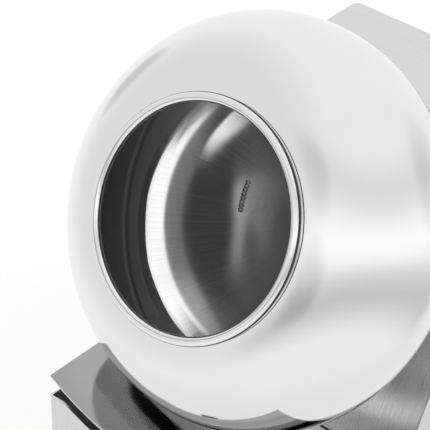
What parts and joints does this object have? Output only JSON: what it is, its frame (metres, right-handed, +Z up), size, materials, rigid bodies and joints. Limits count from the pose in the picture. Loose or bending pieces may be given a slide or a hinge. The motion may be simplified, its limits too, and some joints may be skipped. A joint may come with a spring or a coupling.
{
  "type": "confectionery coating pan",
  "caption": "Tabletop coating pan: a tilted open-mouthed drum turns on a worm drive over a curved catch tray, in a sheet-metal cabinet with front controls.",
  "frame": {"origin": "middle of the overall box in plan, on the floor that the feet stand on", "axes": "+Z up, the mouth of the drum and the controls towards -Y, +X to the right of a person who stands behind the machine's front looking along +Y"},
  "size_m": [0.3999, 0.4884, 0.5669],
  "materials": {
    "polished_stainless": "mirror-polished stainless sheet, spun",
    "brushed_stainless": "satin brushed stainless sheet",
    "machined_steel": "turned and ground steel",
    "zinc_fasteners": "zinc-plated steel",
    "cast_aluminium": "shot-blasted cast aluminium",
    "gear_bronze": "cut bronze",
    "lamination_steel": "stacked electrical steel",
    "painted_steel": "black powder coat",
    "black_rubber": "moulded rubber",
    "black_plastic": "moulded, fine texture",
    "circuit_board": "glass-fibre board with parts",
    "bezel_metal": "chromed collar",
    "green_plastic": "moulded",
    "red_plastic": "moulded",
    "amber_lens": "moulded, clear-toned"
  },
  "bodies": {
    "cabinet": {"chassis_shell": "brushed_stainless", "base_plate": "brushed_stainless", "deck_pan": "brushed_stainless", "drive_plate": "brushed_stainless", "top_cover": "brushed_stainless", "rear_cover": "brushed_stainless", "cover_screws": "zinc_fasteners", "cradle_ribs": "brushed_stainless", "rubber_feet": "black_rubber", "foot_bolts": "zinc_fasteners", "bearing_housing": "machined_steel", "bearing_outer_rings": "machined_steel", "bearing_cages": "machined_steel", "drive_bolts": "zinc_fasteners", "drive_spacers": "machined_steel", "gearbox_case": "cast_aluminium", "gearbox_cover": "cast_aluminium", "gearbox_screws": "zinc_fasteners", "worm_bushes": "gear_bronze", "motor_flange": "cast_aluminium", "motor_housing": "cast_aluminium", "motor_end_bell": "cast_aluminium", "stator_core": "lamination_steel", "fan_cover": "painted_steel", "terminal_box": "black_plastic", "rocker_bezel": "black_plastic", "indicator_lens": "amber_lens", "potentiometer": "black_plastic", "button_bezels": "bezel_metal", "switch_blocks": "black_plastic", "board_standoffs": "zinc_fasteners", "control_board": "circuit_board", "power_inlet": "black_plastic"},
    "drum": {"drum_front": "polished_stainless", "drum_back": "polished_stainless", "mouth_bead": "polished_stainless", "hub_disc": "machined_steel", "drum_shaft": "machined_steel", "wheel_key": "machined_steel", "hub_bolts": "zinc_fasteners", "shaft_seal": "black_rubber", "bearing_inner_rings": "machined_steel", "worm_wheel": "gear_bronze", "end_washer": "machined_steel", "end_bolt": "zinc_fasteners"},
    "rotor": {"worm_shaft": "machined_steel", "rotor_core": "lamination_steel", "cooling_fan": "black_plastic"},
    "tray": {"catch_tray": "brushed_stainless"},
    "knob": {"speed_knob": "black_plastic", "knob_spindle": "bezel_metal"},
    "rocker": {"power_rocker": "black_plastic"},
    "start": {"start_button": "green_plastic"},
    "stop": {"stop_button": "red_plastic"}
  },
  "joints": [
    {"name": "drum_spin", "type": "hinge", "parent": "cabinet", "child": "drum", "pos_m": [0, -0.07875, 0.38], "axis": [0, -0.866, 0.5], "continuous": true},
    {"name": "motor_spin", "type": "hinge", "parent": "cabinet", "child": "rotor", "pos_m": [0.05, 0.13343, 0.2575], "axis": [0, 0.5, 0.866], "continuous": true},
    {"name": "tray_slide", "type": "slide", "parent": "cabinet", "child": "tray", "axis": [0, -1, 0], "range_m": [0, 0.09]},
    {"name": "speed_turn", "type": "hinge", "parent": "cabinet", "child": "knob", "pos_m": [0, -0.22475, 0.068], "axis": [0, 1, 0], "range_deg": [0, 270]},
    {"name": "rocker_tilt", "type": "hinge", "parent": "cabinet", "child": "rocker", "pos_m": [-0.092, -0.22275, 0.068], "axis": [1, 0, 0], "range_deg": [-7, 7]},
    {"name": "start_press", "type": "slide", "parent": "cabinet", "child": "start", "axis": [0, 1, 0], "range_m": [0, 0.003], "stiffness_N_per_m": 400, "springref_m": -0.003},
    {"name": "stop_press", "type": "slide", "parent": "cabinet", "child": "stop", "axis": [0, 1, 0], "range_m": [0, 0.003], "stiffness_N_per_m": 400, "springref_m": -0.003}
  ],
  "couplings": [
    {"joint": "motor_spin", "follows": "drum_spin", "ratio": -30}
  ]
}
